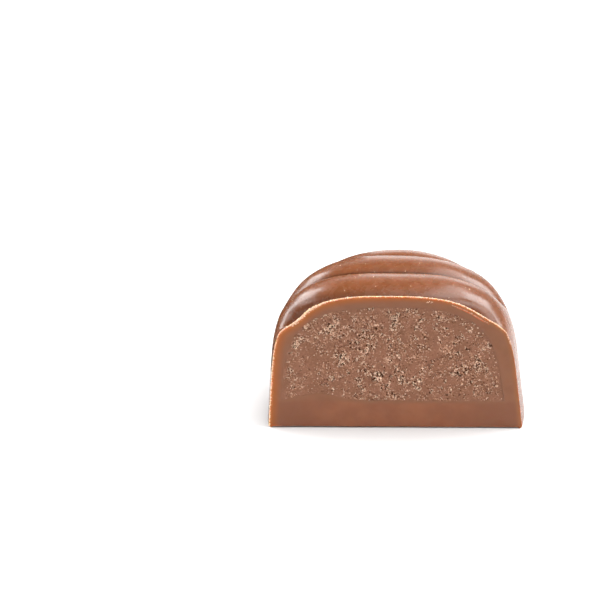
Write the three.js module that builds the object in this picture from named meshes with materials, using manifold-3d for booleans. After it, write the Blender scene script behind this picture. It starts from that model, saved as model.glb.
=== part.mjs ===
// A moulded milk-chocolate praline, cut across just in front of its middle.
// The ridged shell and its thick base are one solid. The crumbly nut filling
// is a second solid that runs through the shell and shows at the cut.
//
// Millimetres, +Z up. The flat base stands on Z = 0, the cut faces -Y, and the
// origin is the centre of the bounding box's bottom.

import * as THREE from 'three';
import { mergeVertices } from 'three/addons/utils/BufferGeometryUtils.js';
import Module from 'manifold-3d';

const wasm = await Module();
wasm.setup();

// ---------------------------------------------------------------- dimensions

// Outside of the moulded body. "Along" is the run of the grooves, nearly X.
const RADIUS_ALONG = 16.5; // base radius along the grooves
const RADIUS_ACROSS = 17.0; // base radius across the grooves
const HEIGHT = 19.8; // over the crown of the middle ridge
const WALL_TAPER = 0.094; // inward lean of the side wall, per unit of height
const SHOULDER_START = 7.4; // height where the wall starts to curve inwards
const SHOULDER_POWER = 3.25; // how long the wall stays upright
const CROWN_POWER = 3.25; // how flat the crown is
const FOOT_ROUNDING = 0.4; // radius of the lower edge

// Ridges and the V grooves between them.
const MIDDLE_RIDGE_WIDTH = 5.54; // groove to groove
const NEXT_RIDGE_WIDTH = 5.85; // the ridge on each side of it
const GROOVE_DEPTH_ON_CROWN = 1.0;
const GROOVE_DEPTH_ON_WALL = 3.6; // reached only where the surface stands upright
const GROOVE_YAW_DEGREES = -1.3; // grooves against the cut
const GROOVE_FADE_START = 13.5; // height where a groove dies out in the wall
const GROOVE_FADE_RISE_LEFT = 3.6; // height over which it reaches full depth
const GROOVE_FADE_RISE_RIGHT = 6.2; // slower at its right end
const ROUND_SHARE = 0.55; // of a groove's depth, the part that is the ridge's round back
const LIP_POWER = 8; // how suddenly the back then turns down into the groove
const OUTER_RIDGE_FALL = 3.8; // from the last groove to the back ridge's crown

// The cut, the base layer and the space for the filling.
const CUT_FROM_CENTRE = 3.35; // cut plane, in front of the body's centre
const BASE_THICKNESS = 4.0;
const FILLING_RADIUS = 15.0; // at the level of the base's underside
const FILLING_TAPER = 0.12;
const FILLING_SHIFT = -0.25; // the left wall is a little thinner than the right
const FILLING_SHOULDER_START = 6.6;
const FILLING_TOP = 17.6;
const SEAT_GAP = 0.3; // between filling and shell

// The base layer has set with a low swell on its left.
const SWELL_HEIGHT = 1.1;
const SWELL_X = -9.6;
const SWELL_WIDTH = 3.0;
const SWELL_REACH = 3 * SWELL_WIDTH; // beyond this it is flat
const SWELL_STEP = 1.2;

// Crumbly face of the filling. The largest clusters of hollows, as [x, z] from
// the middle of the base, and a thin scatter of clusters between them.
const MAIN_CLUSTERS = [
  [-5.9, 13.6], [-7.8, 14.3], [-6.1, 10.3], [-8.4, 6.4], [0.4, 8.8], [1.0, 7.6],
  [-1.7, 7.8], [8.7, 13.2], [10.6, 9.6], [7.7, 8.3], [3.0, 7.0], [6.0, 15.9],
  [3.2, 14.6], [0.2, 15.8], [-2.8, 12.9], [-11.6, 12.8],
];
const PIT_SEED = 20;
const SCATTER_COLUMNS = 8;
const SCATTER_ROWS = 3;
const PITS_IN_CLUSTER = 4;
const CLUSTER_SPREAD = 0.9;
const PIT_RADIUS = [0.35, 0.7];
const PIT_DEPTH = [0.15, 0.5];
const SCATTERED_SHARE = 0.7; // depth of a scattered cluster against a main one
const FACE_STEP = 0.5; // grid of the filling's cut face
const FACE_MARGIN = 1; // by which that grid reaches past the filling

// Distances of the groove lines from the body's centre.
const INNER_GROOVE = MIDDLE_RIDGE_WIDTH / 2;
const OUTER_GROOVE = INNER_GROOVE + NEXT_RIDGE_WIDTH;

// Mesh fineness. Below the crossing height a row follows the wall, above it the crown.
const CROSSING_HEIGHT = 12.4;
const FILLING_CROSSING_HEIGHT = 11.0;
const FRONT_ROWS = [-1, -0.9, -0.7, -0.5]; // shares of the half width, in front of the cut
const WALL_STEPS = 5;
const FOOT_STEPS = 3;
const CROWN_STEPS = 46;
const ROWS_PER_RIDGE = 10;
const ROW_CROWDING = 0.65; // 0 spaces a ridge's rows evenly, 1 crowds them at its grooves
const ROWS_BEHIND = 12;
const FILLING_ROWS = 30;
const SOLVER_STEPS = 40;
const MERGE_DISTANCE = 1e-4;

// ---------------------------------------------------------------- body shape

// Radius of a domed body at height z, along the grooves, with no ridges.
function radiusAt(body, z) {
  const rise = THREE.MathUtils.clamp((z - body.shoulder) / (body.top - body.shoulder), 0, 1);
  const closing = Math.pow(1 - Math.pow(rise, SHOULDER_POWER), 1 / CROWN_POWER);
  return (body.radius - z * body.taper) * closing;
}

// Height of the body's surface over a point that lies at the given radius.
function heightOver(body, radius) {
  let low = body.shoulder;
  let high = body.top;
  for (let step = 0; step < SOLVER_STEPS; step += 1) {
    const middle = (low + high) / 2;
    if (radiusAt(body, middle) > radius) low = middle;
    else high = middle;
  }
  return (low + high) / 2;
}

// How far a place across the ridges is from a ridge's crown, 0, to a groove line, 1.
function towardsGroove(across) {
  const distance = Math.abs(across);
  if (distance <= INNER_GROOVE) return distance / INNER_GROOVE;
  if (distance <= OUTER_GROOVE) {
    const crown = (INNER_GROOVE + OUTER_GROOVE) / 2;
    return Math.abs(distance - crown) / (NEXT_RIDGE_WIDTH / 2);
  }
  return Math.max(0, 1 - (distance - OUTER_GROOVE) / OUTER_RIDGE_FALL);
}

// Share of the groove depth at a place across the ridges: 1 on a groove line and
// 0 on a ridge's crown. The back of a ridge is round and ends in a lip, apart
// from the ridge in front of the cut, of which nothing is left.
function grooveShare(across) {
  const reach = towardsGroove(across);
  if (across < -INNER_GROOVE) return reach ** 2;
  return ROUND_SHARE * reach ** 2 + (1 - ROUND_SHARE) * reach ** LIP_POWER;
}

// Share of the groove depth at a height: grooves run out in the side wall.
function grooveFade(along, z) {
  const fullRise = along < 0 ? GROOVE_FADE_RISE_LEFT : GROOVE_FADE_RISE_RIGHT;
  return THREE.MathUtils.smoothstep(z, GROOVE_FADE_START, GROOVE_FADE_START + fullRise);
}

// Outward normal of the plain body at a point given along, across and up.
function bodyNormal(body, point) {
  const reach = 0.01;
  const z = Math.min(point.z, body.top - 2 * reach);
  const slope = (radiusAt(body, z + reach) - radiusAt(body, z - reach)) / (2 * reach);
  const radius = Math.hypot(point.x, point.y / body.stretch);
  if (radius < reach) return new THREE.Vector3(0, 0, 1);
  return new THREE.Vector3(point.x / radius, point.y / radius / body.stretch, -slope).normalize();
}

// A closed domed body. Its rows are slices at constant distance across the
// ridges, so that a row lies in each groove. Every row climbs the left wall,
// crosses the crown and goes down the right wall.
function domedBody(body, rowPlaces) {
  const endRadius = radiusAt(body, body.crossing);
  const rows = rowPlaces.map((share) => bodyRow(body, share * endRadius, endRadius));
  const positions = rows.flat(2);
  const columns = rows[0].length;
  const triangles = [];
  const corner = (row, column) => row * columns + column;
  for (let row = 0; row + 1 < rows.length; row += 1) {
    for (let column = 0; column + 1 < columns; column += 1) {
      const a = corner(row, column);
      const b = corner(row, column + 1);
      const c = corner(row + 1, column + 1);
      const d = corner(row + 1, column);
      triangles.push([a, b, c], [a, c, d]);
    }
    const leftFoot = corner(row, 0);
    const rightFoot = corner(row, columns - 1);
    const nextLeft = corner(row + 1, 0);
    const nextRight = corner(row + 1, columns - 1);
    triangles.push([leftFoot, nextLeft, nextRight], [leftFoot, nextRight, rightFoot]);
  }
  return solidFrom(positions, triangles);
}

// One row of points of a domed body, each as [x, y, z].
function bodyRow(body, across, endRadius) {
  const angle = Math.asin(THREE.MathUtils.clamp(across / endRadius, -1, 1));
  const wall = [];
  for (let step = 0; step < body.footSteps; step += 1) {
    const turn = (step / body.footSteps) * (Math.PI / 2);
    const z = body.floor + body.foot * (1 - Math.cos(turn));
    wall.push([radiusAt(body, z) - body.foot * (1 - Math.sin(turn)), z]);
  }
  for (let step = 0; step < WALL_STEPS; step += 1) {
    const start = body.floor + body.foot;
    const z = start + ((body.crossing - start) * step) / WALL_STEPS;
    wall.push([radiusAt(body, z), z]);
  }
  const side = (sign) => wall.map(([radius, z]) => {
    const along = sign * radius * Math.cos(angle);
    return new THREE.Vector3(along, radius * Math.sin(angle) * body.stretch, z);
  });
  const halfWidth = endRadius * Math.cos(angle);
  const rise = heightOver(body, Math.abs(across)) - body.crossing;
  const crown = [];
  for (let step = 0; step <= CROWN_STEPS; step += 1) {
    const turn = (Math.PI * step) / CROWN_STEPS;
    crown.push(crownPoint(body, across, halfWidth, rise, turn));
  }
  const points = [...side(-1), ...crown, ...side(1).reverse()];
  return points.map((point) => groovedPoint(body, point).toArray());
}

// Where a ray that leaves the middle of a slice at the given turn meets the body.
function crownPoint(body, across, halfWidth, rise, turn) {
  let low = 0.5; // the ray's reach against an ellipse, here well inside the body
  let high = 1.5; // and here well outside it
  for (let step = 0; step < SOLVER_STEPS; step += 1) {
    const reach = (low + high) / 2;
    const along = reach * halfWidth * Math.cos(turn);
    const z = body.crossing + reach * rise * Math.sin(turn);
    if (z < body.top && Math.hypot(along, across) < radiusAt(body, z)) low = reach;
    else high = reach;
  }
  const z = body.crossing + low * rise * Math.sin(turn);
  return new THREE.Vector3(-low * halfWidth * Math.cos(turn), across * body.stretch, z);
}

// Moves a point of the plain body inwards, to the bottom of the ridges' relief.
function groovedPoint(body, point) {
  if (!body.ridged || point.z <= GROOVE_FADE_START) return point;
  const normal = bodyNormal(body, point);
  const fullDepth = THREE.MathUtils.lerp(GROOVE_DEPTH_ON_WALL, GROOVE_DEPTH_ON_CROWN, normal.z ** 2);
  const depth = fullDepth * grooveShare(point.y) * grooveFade(point.x, point.z);
  return point.addScaledVector(normal, -depth);
}

// Places of a plain body's rows, as shares of its half width.
function evenRows(count) {
  return Array.from({ length: count + 1 }, (_, row) => -Math.cos((Math.PI * row) / count));
}

// Places of the ridged body's rows: few in front of the cut, which takes them
// away, and on each ridge behind it closer together towards its grooves.
function ridgeRows(halfWidth) {
  const places = [...FRONT_ROWS];
  const spread = (low, high) => {
    for (let row = 0; row < ROWS_PER_RIDGE; row += 1) {
      const even = (2 * row) / ROWS_PER_RIDGE - 1;
      const crowded = THREE.MathUtils.lerp(even, Math.sin((even * Math.PI) / 2), ROW_CROWDING);
      places.push((low + ((high - low) * (crowded + 1)) / 2) / halfWidth);
    }
  };
  spread(-INNER_GROOVE - NEXT_RIDGE_WIDTH / 2, -INNER_GROOVE);
  spread(-INNER_GROOVE, INNER_GROOVE);
  spread(INNER_GROOVE, OUTER_GROOVE);
  places.push(OUTER_GROOVE / halfWidth);
  const lastAngle = Math.asin(OUTER_GROOVE / halfWidth);
  for (let row = 1; row <= ROWS_BEHIND; row += 1) {
    places.push(Math.sin(lastAngle + ((Math.PI / 2 - lastAngle) * row) / ROWS_BEHIND));
  }
  return places;
}

// ---------------------------------------------------------------- solids

// Turns loose triangles into a closed solid, without the flat ones that form
// where a row shrinks to a line.
function solidFrom(positions, triangles) {
  const geometry = new THREE.BufferGeometry();
  geometry.setAttribute('position', new THREE.Float32BufferAttribute(positions, 3));
  geometry.setIndex(triangles.flat());
  const merged = mergeVertices(geometry, MERGE_DISTANCE);
  const index = merged.index.array;
  const kept = [];
  for (let start = 0; start < index.length; start += 3) {
    const [a, b, c] = index.slice(start, start + 3);
    if (a !== b && b !== c && a !== c) kept.push(a, b, c);
  }
  return new wasm.Manifold(new wasm.Mesh({
    numProp: 3,
    vertProperties: new Float32Array(merged.attributes.position.array),
    triVerts: new Uint32Array(kept),
  }));
}

// A block with a bumpy +Y face: frontAt(x, z) gives that face's Y.
function reliefBlock(xLines, zLines, frontAt, rearY) {
  const positions = [];
  for (const y of ['front', 'rear']) {
    for (const z of zLines) {
      for (const x of xLines) {
        positions.push(x, y === 'front' ? frontAt(x, z) : rearY, z);
      }
    }
  }
  const columns = xLines.length;
  const layer = columns * zLines.length;
  const triangles = [];
  const quad = (a, b, c, d) => triangles.push([a, b, c], [a, c, d]);
  const corner = (row, column) => row * columns + column;
  for (let row = 0; row + 1 < zLines.length; row += 1) {
    for (let column = 0; column + 1 < columns; column += 1) {
      const a = corner(row, column);
      const b = corner(row, column + 1);
      const c = corner(row + 1, column + 1);
      const d = corner(row + 1, column);
      quad(a, d, c, b);
      quad(a + layer, b + layer, c + layer, d + layer);
    }
  }
  const lastRow = zLines.length - 1;
  for (let column = 0; column + 1 < columns; column += 1) {
    const low = corner(0, column);
    const high = corner(lastRow, column);
    quad(low, low + 1, low + 1 + layer, low + layer);
    quad(high, high + layer, high + 1 + layer, high + 1);
  }
  for (let row = 0; row < lastRow; row += 1) {
    const left = corner(row, 0);
    const right = corner(row, columns - 1);
    quad(left, left + layer, left + columns + layer, left + columns);
    quad(right, right + columns, right + columns + layer, right + layer);
  }
  return solidFrom(positions, triangles);
}

// A block that lies under the filling's bottom, swollen on its left.
function baseLayerBlock(offset) {
  const half = RADIUS_ACROSS * 2;
  const xLines = [-half];
  for (let x = SWELL_X - SWELL_REACH; x <= SWELL_X + SWELL_REACH; x += SWELL_STEP) xLines.push(x);
  xLines.push(half);
  const swell = (x) => SWELL_HEIGHT * Math.exp(-(((x - SWELL_X) / SWELL_WIDTH) ** 2));
  const block = reliefBlock(xLines, [-half, half], (x) => BASE_THICKNESS + swell(x) + offset, -half);
  // The relief face was made facing +Y: turn it to face up.
  return block.rotate([90, 0, 0]);
}

// ---------------------------------------------------------------- crumbs

// A repeatable source of numbers from 0 to 1.
function seededRandom(seed) {
  let state = seed;
  return () => {
    state = (state + 0x6d2b79f5) | 0;
    let mixed = Math.imul(state ^ (state >>> 15), 1 | state);
    mixed = (mixed + Math.imul(mixed ^ (mixed >>> 7), 61 | mixed)) ^ mixed;
    return ((mixed ^ (mixed >>> 14)) >>> 0) / 2 ** 32;
  };
}

// Small hollows that crumbs left in the cut face, in loose clusters.
function crumbPits() {
  const random = seededRandom(PIT_SEED);
  const between = ([low, high]) => low + (high - low) * random();
  const pits = [];
  const addCluster = (middleX, middleZ, share) => {
    for (let pit = 0; pit < PITS_IN_CLUSTER; pit += 1) {
      const swing = 2 * Math.PI * random();
      const away = CLUSTER_SPREAD * random();
      pits.push({
        x: middleX + away * Math.cos(swing),
        z: middleZ + away * Math.sin(swing),
        radius: between(PIT_RADIUS),
        depth: share * between(PIT_DEPTH),
      });
    }
  };
  for (const [x, z] of MAIN_CLUSTERS) addCluster(x, z, 1);
  const cellWidth = (2 * FILLING_RADIUS) / SCATTER_COLUMNS;
  const cellHeight = (FILLING_TOP - BASE_THICKNESS) / SCATTER_ROWS;
  for (let row = 0; row < SCATTER_ROWS; row += 1) {
    for (let column = 0; column < SCATTER_COLUMNS; column += 1) {
      const x = -FILLING_RADIUS + (column + random()) * cellWidth;
      const z = BASE_THICKNESS + (row + random()) * cellHeight;
      addCluster(x, z, SCATTERED_SHARE);
    }
  }
  return pits;
}

// Depth of the crumbly relief at a place of the cut face.
function reliefDepth(pits, x, z) {
  let depth = 0;
  for (const pit of pits) {
    const distance = Math.hypot(x - pit.x, z - pit.z) / pit.radius;
    if (distance < 1) depth = Math.max(depth, pit.depth * (1 - distance ** 2));
  }
  return depth;
}

function linesBetween(low, high, step) {
  const count = Math.round((high - low) / step);
  return Array.from({ length: count + 1 }, (_, line) => low + ((high - low) * line) / count);
}

// ---------------------------------------------------------------- the praline

const OUTER_BODY = {
  radius: RADIUS_ALONG,
  stretch: RADIUS_ACROSS / RADIUS_ALONG,
  taper: WALL_TAPER,
  shoulder: SHOULDER_START,
  top: HEIGHT,
  floor: 0,
  foot: FOOT_ROUNDING,
  footSteps: FOOT_STEPS,
  crossing: CROSSING_HEIGHT,
  ridged: true,
};

// The filling's form, or with an offset the space that holds it.
function fillingBody(offset) {
  return {
    radius: FILLING_RADIUS + offset,
    stretch: RADIUS_ACROSS / RADIUS_ALONG,
    taper: FILLING_TAPER,
    shoulder: FILLING_SHOULDER_START,
    top: FILLING_TOP + offset,
    floor: BASE_THICKNESS / 2,
    foot: 0,
    footSteps: 0,
    crossing: FILLING_CROSSING_HEIGHT,
    ridged: false,
  };
}

function fillingSolid(offset) {
  const body = domedBody(fillingBody(offset), evenRows(FILLING_ROWS));
  return body.translate([FILLING_SHIFT, 0, 0]).subtract(baseLayerBlock(-offset));
}

function chocolateShell() {
  const halfWidth = radiusAt(OUTER_BODY, OUTER_BODY.crossing) * OUTER_BODY.stretch;
  const body = domedBody(OUTER_BODY, ridgeRows(halfWidth)).rotate([0, 0, GROOVE_YAW_DEGREES]);
  const hollowed = body.subtract(fillingSolid(SEAT_GAP / 2));
  return hollowed.trimByPlane([0, 1, 0], -CUT_FROM_CENTRE);
}

function pralineFilling() {
  const pits = crumbPits();
  const reach = FILLING_RADIUS + FACE_MARGIN;
  const heights = linesBetween(BASE_THICKNESS - FACE_MARGIN, FILLING_TOP + FACE_MARGIN, FACE_STEP);
  const xLines = [-2 * reach, ...linesBetween(-reach, reach, FACE_STEP), 2 * reach];
  const zLines = [-reach, ...heights, 2 * reach];
  const faceAt = (x, z) => -CUT_FROM_CENTRE + reliefDepth(pits, x, z);
  const knife = reliefBlock(xLines, zLines, faceAt, -2 * RADIUS_ACROSS);
  return fillingSolid(-SEAT_GAP / 2).subtract(knife);
}

function meshOf(solid, name, material) {
  const { vertProperties, triVerts } = solid.getMesh();
  const geometry = new THREE.BufferGeometry();
  geometry.setAttribute('position', new THREE.BufferAttribute(new Float32Array(vertProperties), 3));
  geometry.setIndex(new THREE.BufferAttribute(new Uint32Array(triVerts), 1));
  geometry.computeVertexNormals();
  const mesh = new THREE.Mesh(geometry, material);
  mesh.name = name;
  return mesh;
}

const milkChocolate = new THREE.MeshStandardMaterial({ color: 0x96603f, roughness: 0.35, metalness: 0 });
const nutFilling = new THREE.MeshStandardMaterial({ color: 0x91705b, roughness: 0.9, metalness: 0 });

const praline = new THREE.Group();
praline.add(meshOf(chocolateShell(), 'chocolate_shell', milkChocolate));
praline.add(meshOf(pralineFilling(), 'praline_filling', nutFilling));

// Bring the centre of the bounding box's bottom to the origin.
const extent = new THREE.Box3().setFromObject(praline);
const middle = extent.getCenter(new THREE.Vector3());
praline.position.set(-middle.x, -middle.y, -extent.min.z);

export default praline;
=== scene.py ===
"""A round milk-chocolate praline, cut across to show its shell, thick base and nut filling."""

import math

import bmesh
import bpy
import numpy as np
from mathutils import Euler, Matrix, Vector, noise


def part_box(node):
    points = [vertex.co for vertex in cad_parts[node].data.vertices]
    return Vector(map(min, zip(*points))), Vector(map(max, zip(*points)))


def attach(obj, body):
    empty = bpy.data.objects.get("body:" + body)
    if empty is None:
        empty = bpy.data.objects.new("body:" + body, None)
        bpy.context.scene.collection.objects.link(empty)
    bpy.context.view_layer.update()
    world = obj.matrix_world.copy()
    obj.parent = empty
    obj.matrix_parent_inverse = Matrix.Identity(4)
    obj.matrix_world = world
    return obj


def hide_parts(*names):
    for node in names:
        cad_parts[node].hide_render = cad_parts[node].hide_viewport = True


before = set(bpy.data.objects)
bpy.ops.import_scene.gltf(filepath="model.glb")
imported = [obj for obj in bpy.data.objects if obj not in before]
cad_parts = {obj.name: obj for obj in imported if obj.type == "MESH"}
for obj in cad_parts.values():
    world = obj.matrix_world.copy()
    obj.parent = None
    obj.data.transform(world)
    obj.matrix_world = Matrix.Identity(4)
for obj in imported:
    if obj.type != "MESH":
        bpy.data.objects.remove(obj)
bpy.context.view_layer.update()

# ---------------------------------------------------------------- the moulded shell
# The shell and the thick base are one casting of milk chocolate, poured in a polished mould.
# Its dome has three round-backed ridges with V grooves between them, nearly along X, and the
# knife has gone through just in front of the middle ridge.

MM = 0.001

shell_low, shell_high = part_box("chocolate_shell")
CUT_Y = shell_low.y
CUT_FROM_CENTRE = 3.35 * MM
CENTRE_Y = CUT_Y + CUT_FROM_CENTRE
STRETCH = 17.0 / 16.5  # the body is a little wider across the ridges than along them
GROOVE_YAW = math.radians(-1.3)

SHOULDER_POWER = 3.25
CROWN_POWER = 3.25
OUTSIDE = {
    "radius": 16.5 * MM,
    "taper": 0.094,
    "shoulder": 7.4 * MM,
    "top": shell_high.z,
    "crossing": 12.4 * MM,  # where a slice's walls go over into its crown
}
FOOT_ROUNDING = 0.4 * MM

INNER_GROOVE = 2.77 * MM
OUTER_GROOVE = 8.62 * MM
NEXT_CROWN = (INNER_GROOVE + OUTER_GROOVE) / 2
OUTER_RIDGE_FALL = 3.8 * MM
GROOVE_DEPTH_ON_CROWN = 1.0 * MM
GROOVE_DEPTH_ON_WALL = 3.6 * MM
GROOVE_FADE_START = 13.5 * MM
GROOVE_FADE_RISE_LEFT = 3.6 * MM
GROOVE_FADE_RISE_RIGHT = 6.2 * MM
ROUND_SHARE = 0.55  # of a groove's depth, the part that is the ridge's round back
LIP_POWER = 14  # how suddenly a ridge turns down into the groove behind it
FOOT_POWER = 6  # and into the one in front
BACK_GROOVE_LEFT = 0.25  # share of its depth that the back groove keeps on the left
BACK_GROOVE_FADE = 8 * MM

FOOT_STEPS = 8
WALL_STEPS = 56
CROWN_STEPS = 260
COLUMNS = 2 * (FOOT_STEPS + WALL_STEPS) + CROWN_STEPS + 1
STRIP_ROWS = 6  # between the cut and the middle ridge
RIDGE_ROWS = 44
BACK_ROWS = 58
BACK_ROW_POWER = 1.4  # rows crowd together just behind the last groove
SOLVER_STEPS = 36


def radius_at(form, z):
    """Radius of a domed form at a height, along the ridges."""
    rise = np.clip((z - form["shoulder"]) / (form["top"] - form["shoulder"]), 0, 1)
    return (form["radius"] - z * form["taper"]) * (1 - rise ** SHOULDER_POWER) ** (1 / CROWN_POWER)


def half_width(form, across_at, z, side):
    """How far a slice reaches from its middle to the wall, on one side, at each height."""
    low = np.zeros_like(z)
    high = np.full_like(z, form["radius"])
    for _ in range(SOLVER_STEPS):
        middle = (low + high) / 2
        inside = np.hypot(middle, across_at(side * middle) / STRETCH) < radius_at(form, z)
        low = np.where(inside, middle, low)
        high = np.where(inside, high, middle)
    return low


def crown_points(form, across_at, turns):
    """Points of a slice above the crossing height, from its left wall over the crown to its right."""
    crossing = form["crossing"]
    level = np.array([crossing])
    left = half_width(form, across_at, level, -1)[0]
    right = half_width(form, across_at, level, 1)[0]
    over_middle = abs(across_at(np.array([0.0]))[0]) / STRETCH
    low, high = crossing, form["top"]
    for _ in range(SOLVER_STEPS):
        middle = (low + high) / 2
        if radius_at(form, middle) > over_middle:
            low = middle
        else:
            high = middle
    rise = (low + high) / 2 - crossing
    width = np.where(turns < math.pi / 2, left, right)
    near = np.full_like(turns, 0.5)  # shares of the plain ellipse that the outline lies between
    far = np.full_like(turns, 1.5)
    for _ in range(SOLVER_STEPS):
        reach = (near + far) / 2
        along = -reach * width * np.cos(turns)
        z = crossing + reach * rise * np.sin(turns)
        radius = np.hypot(along, across_at(along) / STRETCH)
        inside = (z < form["top"]) & (radius < radius_at(form, z))
        near = np.where(inside, reach, near)
        far = np.where(inside, far, reach)
    along = -near * width * np.cos(turns)
    return np.stack([along, across_at(along), crossing + near * rise * np.sin(turns)], axis=-1)


def place_on_ridge(across):
    """How far a place is from its ridge's crown, 0, to a groove line, 1, and whether on the back."""
    distance = np.abs(across)
    on_next = np.abs(distance - NEXT_CROWN) / (OUTER_GROOVE - NEXT_CROWN)
    on_last = np.clip(1 - (distance - OUTER_GROOVE) / OUTER_RIDGE_FALL, 0, 1)
    reach = np.where(distance <= INNER_GROOVE, distance / INNER_GROOVE, on_next)
    reach = np.where(distance > OUTER_GROOVE, on_last, reach)
    on_middle_back = (across > 0) & (across <= INNER_GROOVE)
    on_next_back = (across > NEXT_CROWN) & (across <= OUTER_GROOVE)
    return reach, on_middle_back | on_next_back


def groove_share(across):
    """Share of the groove depth: 1 on a groove line, 0 on a ridge's crown."""
    reach, on_back = place_on_ridge(across)
    power = np.where(on_back, LIP_POWER, FOOT_POWER)
    edged = ROUND_SHARE * reach ** 2 + (1 - ROUND_SHARE) * reach ** power
    return np.where(across < -INNER_GROOVE, reach ** 2, edged)


def ridged(points):
    """Presses the grooves into points of the plain dome."""
    along, across, z = points[..., 0], points[..., 1], points[..., 2]
    step = 0.01 * MM
    height = np.minimum(z, OUTSIDE["top"] - 2 * step)
    slope = (radius_at(OUTSIDE, height + step) - radius_at(OUTSIDE, height - step)) / (2 * step)
    radius = np.maximum(np.hypot(along, across / STRETCH), step)
    normal = np.stack([along / radius, across / radius / STRETCH, -slope], axis=-1)
    normal /= np.linalg.norm(normal, axis=-1, keepdims=True)
    fade_rise = np.where(along < 0, GROOVE_FADE_RISE_LEFT, GROOVE_FADE_RISE_RIGHT)
    risen = np.clip((z - GROOVE_FADE_START) / fade_rise, 0, 1)
    fade = risen ** 2 * (3 - 2 * risen)
    upright = 1 - normal[..., 2] ** 2
    towards_back = np.clip((across - INNER_GROOVE) / (OUTER_GROOVE - INNER_GROOVE), 0, 1)
    back_left = towards_back * np.clip(-along / BACK_GROOVE_FADE, 0, 1)
    full_depth = GROOVE_DEPTH_ON_CROWN + (GROOVE_DEPTH_ON_WALL - GROOVE_DEPTH_ON_CROWN) * upright
    full_depth = full_depth * (1 - (1 - BACK_GROOVE_LEFT) * back_left)
    return points - normal * (full_depth * groove_share(across) * fade)[..., None]


def cut_line(along):
    """Where the cut lies across the ridges, at a place along them."""
    return (-CUT_FROM_CENTRE - along * math.sin(GROOVE_YAW)) / math.cos(GROOVE_YAW)


def in_row_frame(points):
    """Turns points given along, across and up into the part's frame."""
    along, across, z = points[..., 0], points[..., 1], points[..., 2]
    x = along * math.cos(GROOVE_YAW) - across * math.sin(GROOVE_YAW)
    y = along * math.sin(GROOVE_YAW) + across * math.cos(GROOVE_YAW) + CENTRE_Y
    return np.stack([x, y, z], axis=-1)


def hump(values, middle, width):
    """1 at the middle value, falling softly to 0 on both sides of it."""
    return np.exp(-(((values - middle) / width) ** 2))


# The knife breaks the outer edge back, most of all at the upper left. Depths in millimetres.
BROKEN_BACK = 0.075
BROKEN_WAVE = 0.03
BROKEN_MORE_AT_LEFT = 0.1
BROKEN_LESS_AT_RIGHT = 0.06
CHIP_AT_UPPER_LEFT = 0.34
CHIP_AT_UPPER_RIGHT = 0.06
LEAST_DEPTH = 0.015
GREATEST_DEPTH = 0.42
FINE_CHIPS = 90  # waves along half of the edge
COARSE_CHIPS = 34


def edge_chips():
    """How far the cut's outer edge is broken back, for each column of the outside."""
    place = np.linspace(-1, 1, COLUMNS)  # from the left foot over the crown to the right foot
    fine = np.array([noise.noise(Vector((t * FINE_CHIPS, 3.1, 0))) for t in place])
    coarse = np.array([noise.noise(Vector((t * COARSE_CHIPS, 8.7, 0))) for t in place])
    upper_left = hump(place, -0.38, 0.12)
    upper_right = hump(place, 0.42, 0.2)
    right_wall = np.clip((place - 0.52) / 0.1, 0, 1)
    bite = BROKEN_WAVE + CHIP_AT_UPPER_LEFT * upper_left + CHIP_AT_UPPER_RIGHT * upper_right
    depth = BROKEN_BACK + BROKEN_WAVE * fine + np.clip(fine + coarse, 0, 1) * bite
    depth = depth + BROKEN_MORE_AT_LEFT * upper_left - BROKEN_LESS_AT_RIGHT * right_wall
    return np.clip(depth, LEAST_DEPTH, GREATEST_DEPTH) * MM


def rows_across():
    """Where each row of the outside lies across the ridges, as functions of the place along them."""
    places = []
    for row in range(STRIP_ROWS):
        share = row / STRIP_ROWS
        places.append(lambda along, share=share: cut_line(along) * (1 - share) - INNER_GROOVE * share)
    even = np.linspace(-1, 1, RIDGE_ROWS, endpoint=False)
    closer = 0.35 * even + 0.65 * np.sin(even * math.pi / 2)  # rows crowd together at the grooves
    next_rows = NEXT_CROWN + closer * (OUTER_GROOVE - NEXT_CROWN)
    end_radius = radius_at(OUTSIDE, np.array([OUTSIDE["crossing"]]))[0]
    last_angle = math.asin(OUTER_GROOVE / STRETCH / end_radius)
    turned = np.linspace(0, 1, BACK_ROWS + 1) ** BACK_ROW_POWER
    back_rows = end_radius * STRETCH * np.sin(last_angle + (math.pi / 2 - last_angle) * turned)
    for across in np.concatenate([closer * INNER_GROOVE, next_rows, back_rows]):
        places.append(lambda along, across=across: np.full_like(along, across))
    return places


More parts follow.
